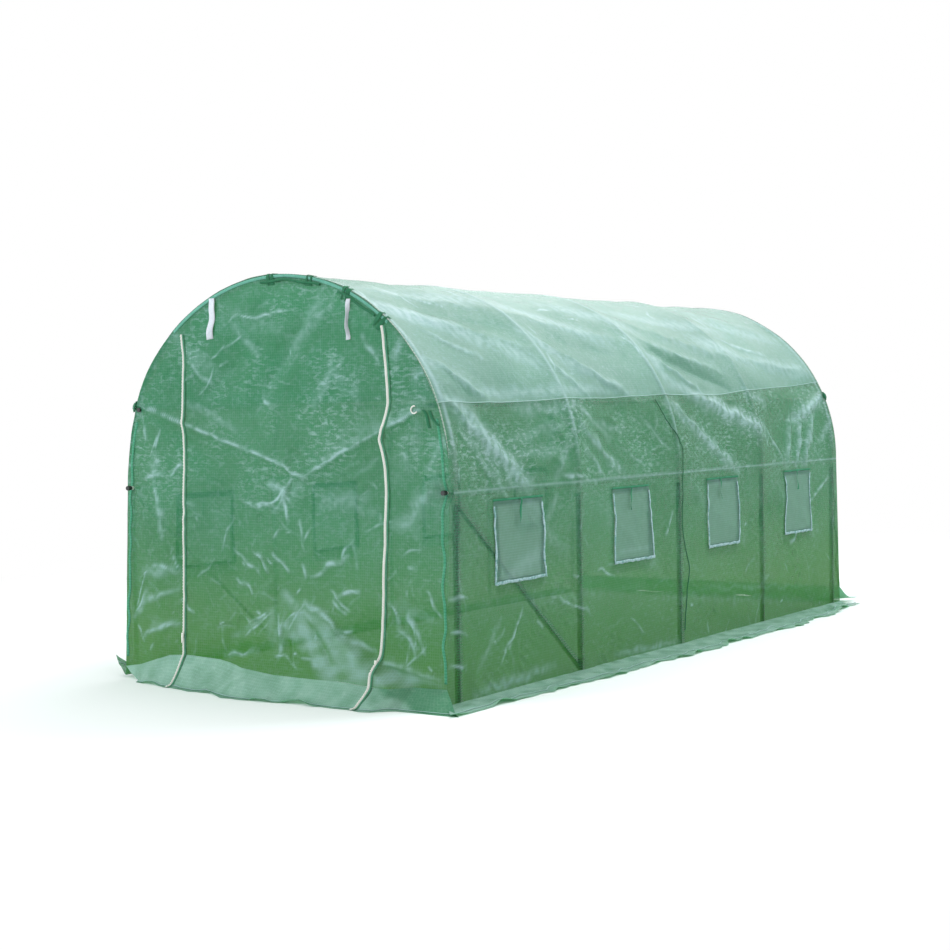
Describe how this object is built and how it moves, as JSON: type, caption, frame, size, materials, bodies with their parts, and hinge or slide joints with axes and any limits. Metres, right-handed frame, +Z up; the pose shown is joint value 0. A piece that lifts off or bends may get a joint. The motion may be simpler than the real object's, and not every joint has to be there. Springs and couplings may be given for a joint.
{
  "type": "polytunnel greenhouse",
  "caption": "Walk-in arched greenhouse: tubular steel hoops and rails under a sewn green film cover with a zipped roll-up door, netted side windows and ground skirts.",
  "frame": {"origin": "on the ground at the middle of the tunnel's footprint", "axes": "+Z up, +Y along the tunnel from the zipped door to the plain end, +X across it to the right"},
  "size_m": [2.42, 5.0342, 2],
  "materials": {
    "steel_tube": "satin",
    "end_cap": "matte",
    "cover_film": "gloss",
    "zip": "satin",
    "white_strap": "matte",
    "green_strap": "matte",
    "net": "matte"
  },
  "bodies": {
    "root": {"arch_1": "steel_tube", "arch_2": "steel_tube", "arch_3": "steel_tube", "arch_4": "steel_tube", "arch_5": "steel_tube", "left_legs": "steel_tube", "right_legs": "steel_tube", "ridge_rail": "steel_tube", "left_shoulder_rail": "steel_tube", "right_shoulder_rail": "steel_tube", "left_side_rail": "steel_tube", "right_side_rail": "steel_tube", "left_brace": "steel_tube", "right_brace": "steel_tube", "front_rail_caps": "end_cap", "back_rail_caps": "end_cap", "roof_cover": "cover_film", "left_wall_cover": "cover_film", "right_wall_cover": "cover_film", "front_left_panel": "cover_film", "front_door": "cover_film", "front_right_panel": "cover_film", "back_panel": "cover_film", "front_skirt": "cover_film", "back_skirt": "cover_film", "left_skirt": "cover_film", "right_skirt": "cover_film", "left_window_flap_1": "cover_film", "left_window_flap_2": "cover_film", "left_window_flap_3": "cover_film", "left_window_flap_4": "cover_film", "right_window_flap_1": "cover_film", "right_window_flap_2": "cover_film", "right_window_flap_3": "cover_film", "right_window_flap_4": "cover_film", "left_zip": "zip", "right_zip": "zip", "door_ties": "white_strap", "left_window_nets": "net", "right_window_nets": "net", "left_window_ties": "green_strap", "right_window_ties": "green_strap"}
  },
  "joints": []
}
